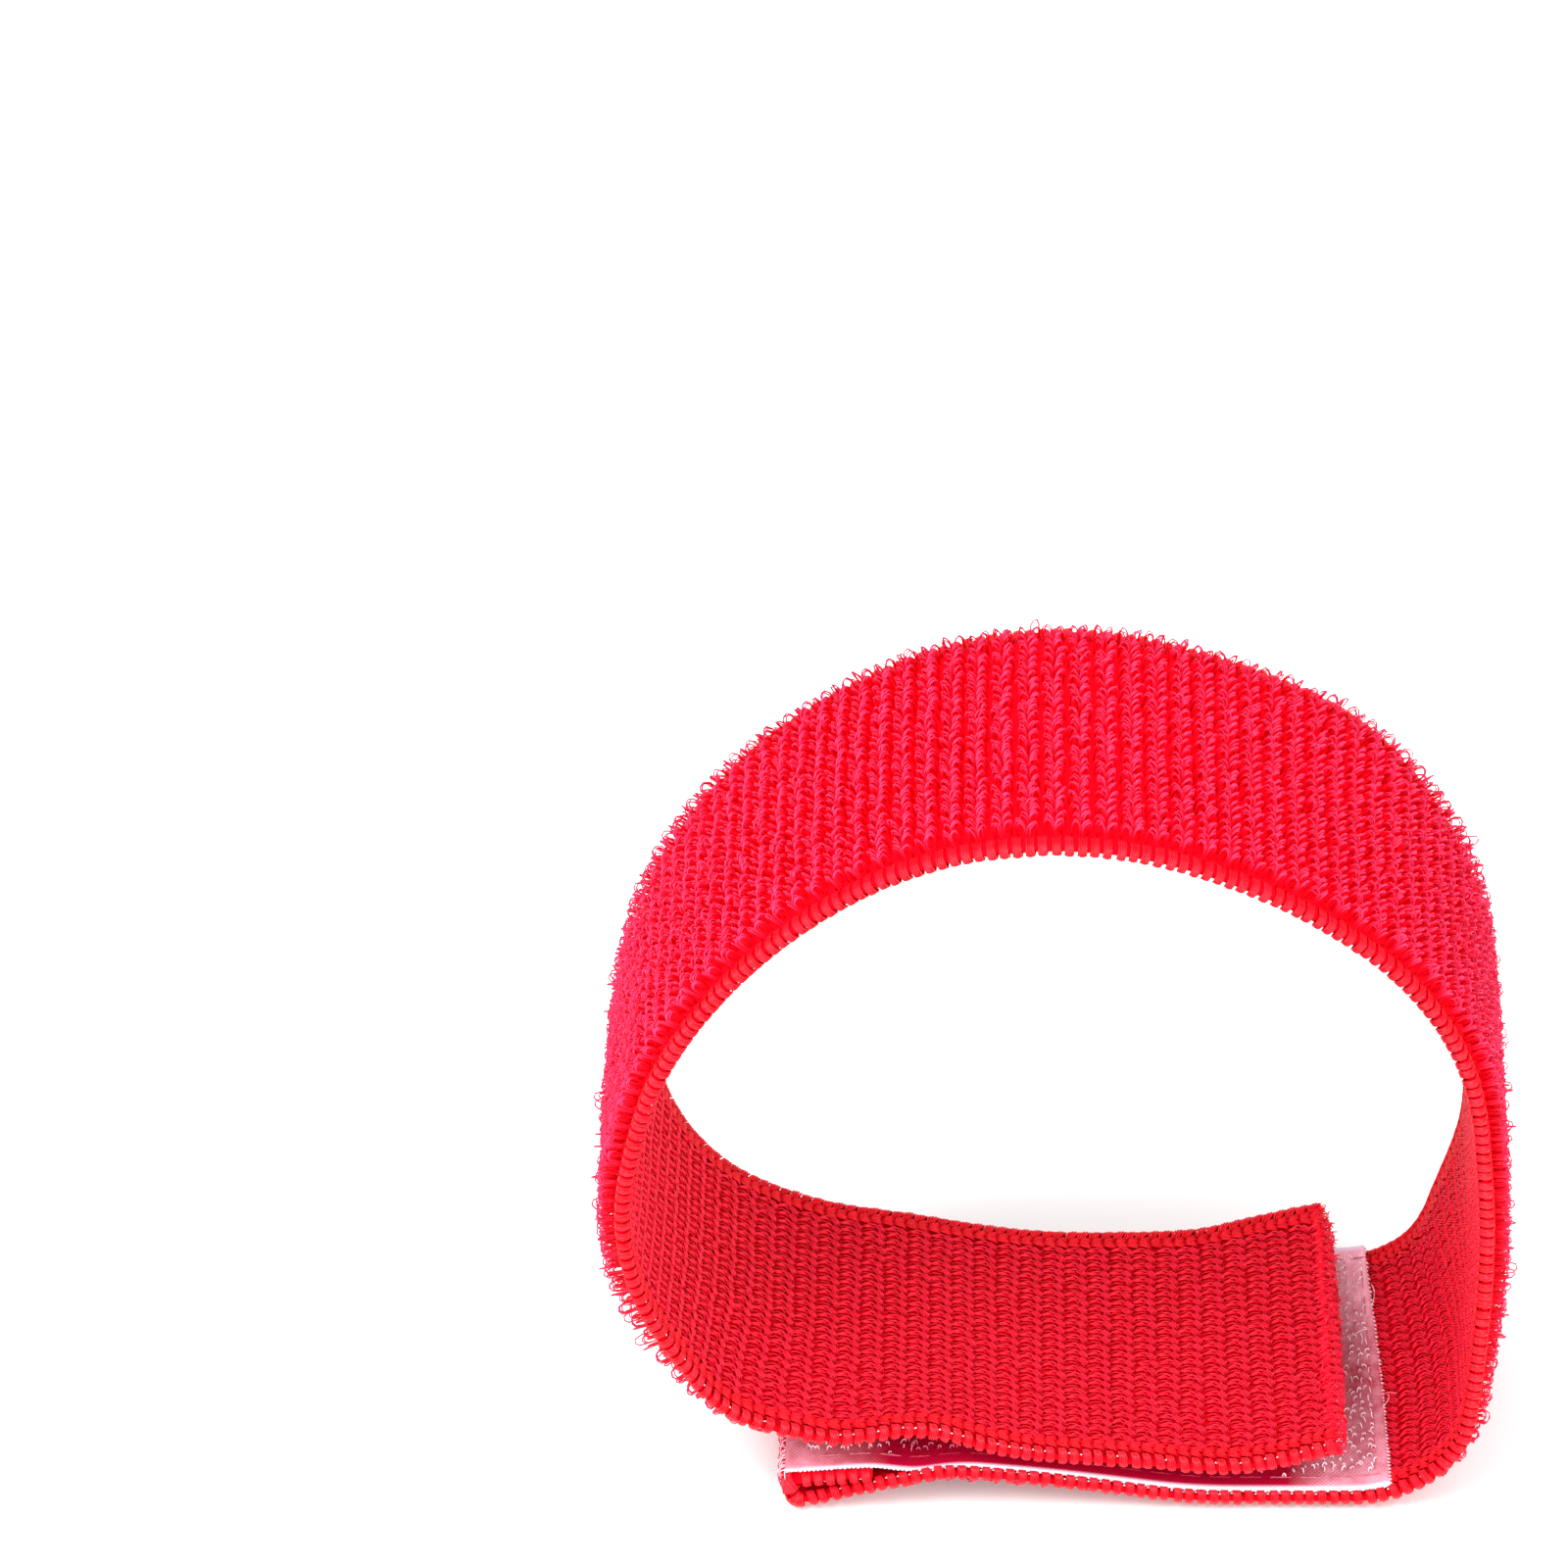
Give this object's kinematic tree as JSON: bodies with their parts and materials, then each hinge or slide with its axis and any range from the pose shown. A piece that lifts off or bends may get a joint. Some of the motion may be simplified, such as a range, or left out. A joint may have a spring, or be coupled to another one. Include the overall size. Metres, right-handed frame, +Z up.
{
  "type": "elastic hook and loop strap",
  "caption": "Knitted elastic limb strap with loop pile outside and a hook tape on its hemmed end, closed into a ring.",
  "frame": {"origin": "on the resting plane, under the middle of the closed ring", "axes": "+X along the closure from the hem towards the bend, +Y across the band, +Z up through the ring"},
  "size_m": [0.1008, 0.038, 0.0992],
  "materials": {
    "red_knit": "ribbed elastic knit of textured nylon",
    "red_pile": "soft unbrushed loop pile with paler tips",
    "white_elastic": "matt cut rubber thread",
    "hook_nylon": "translucent milky nylon",
    "sewing_thread": "fine sewing thread"
  },
  "bodies": {
    "tail": {"tail_knit_back": "red_knit", "tail_knit_face": "red_knit", "tail_elastic_cores": "white_elastic", "tail_selvedges": "red_knit", "tail_pile": "red_pile", "hem_knit": "red_knit", "hem_pile": "red_pile", "hook_tape": "hook_nylon", "hook_field": "hook_nylon", "tape_stitches": "sewing_thread"},
    "right_bend": {"right_bend_knit_back": "red_knit", "right_bend_knit_face": "red_knit", "right_bend_elastic_cores": "white_elastic", "right_bend_selvedges": "red_knit", "right_bend_pile": "red_pile"},
    "right_side": {"right_side_knit_back": "red_knit", "right_side_knit_face": "red_knit", "right_side_elastic_cores": "white_elastic", "right_side_selvedges": "red_knit", "right_side_pile": "red_pile"},
    "crown_right": {"crown_right_knit_back": "red_knit", "crown_right_knit_face": "red_knit", "crown_right_elastic_cores": "white_elastic", "crown_right_selvedges": "red_knit", "crown_right_pile": "red_pile"},
    "crown_left": {"crown_left_knit_back": "red_knit", "crown_left_knit_face": "red_knit", "crown_left_elastic_cores": "white_elastic", "crown_left_selvedges": "red_knit", "crown_left_pile": "red_pile"},
    "left_side": {"left_side_knit_back": "red_knit", "left_side_knit_face": "red_knit", "left_side_elastic_cores": "white_elastic", "left_side_selvedges": "red_knit", "left_side_pile": "red_pile"},
    "left_bend": {"left_bend_knit_back": "red_knit", "left_bend_knit_face": "red_knit", "left_bend_elastic_cores": "white_elastic", "left_bend_selvedges": "red_knit", "left_bend_pile": "red_pile"},
    "free_end": {"free_end_knit_back": "red_knit", "free_end_knit_face": "red_knit", "free_end_elastic_cores": "white_elastic", "free_end_selvedges": "red_knit", "free_end_pile": "red_pile"}
  },
  "joints": [
    {"name": "ring_opening", "type": "hinge", "parent": "tail", "child": "right_bend", "pos_m": [0.04195, 0, 0.0013], "axis": [0, 1, 0], "range_deg": [0, 28]},
    {"name": "right_side_flex", "type": "hinge", "parent": "right_bend", "child": "right_side", "pos_m": [0.04983, 0, 0.02102], "axis": [0, 1, 0], "range_deg": [0, 28]},
    {"name": "right_shoulder_flex", "type": "hinge", "parent": "right_side", "child": "crown_right", "pos_m": [0.0453, 0, 0.07114], "axis": [0, 1, 0], "range_deg": [0, 28]},
    {"name": "crown_flex", "type": "hinge", "parent": "crown_right", "child": "crown_left", "pos_m": [0.00959, 0, 0.09809], "axis": [0, 1, 0], "range_deg": [0, 28]},
    {"name": "left_shoulder_flex", "type": "hinge", "parent": "crown_left", "child": "left_side", "pos_m": [-0.03036, 0, 0.0865], "axis": [0, 1, 0], "range_deg": [0, 28]},
    {"name": "end_peel", "type": "hinge", "parent": "left_side", "child": "left_bend", "pos_m": [-0.03989, 0, 0.02301], "axis": [0, -1, 0], "range_deg": [0, 25]},
    {"name": "end_curl_flex", "type": "hinge", "parent": "left_bend", "child": "free_end", "pos_m": [-0.01834, 0, 0.01206], "axis": [0, -1, 0], "range_deg": [0, 25]}
  ],
  "couplings": [
    {"joint": "right_side_flex", "follows": "ring_opening", "ratio": 1},
    {"joint": "right_shoulder_flex", "follows": "ring_opening", "ratio": 1},
    {"joint": "crown_flex", "follows": "ring_opening", "ratio": 1},
    {"joint": "left_shoulder_flex", "follows": "ring_opening", "ratio": 1},
    {"joint": "end_curl_flex", "follows": "end_peel", "ratio": 1}
  ]
}
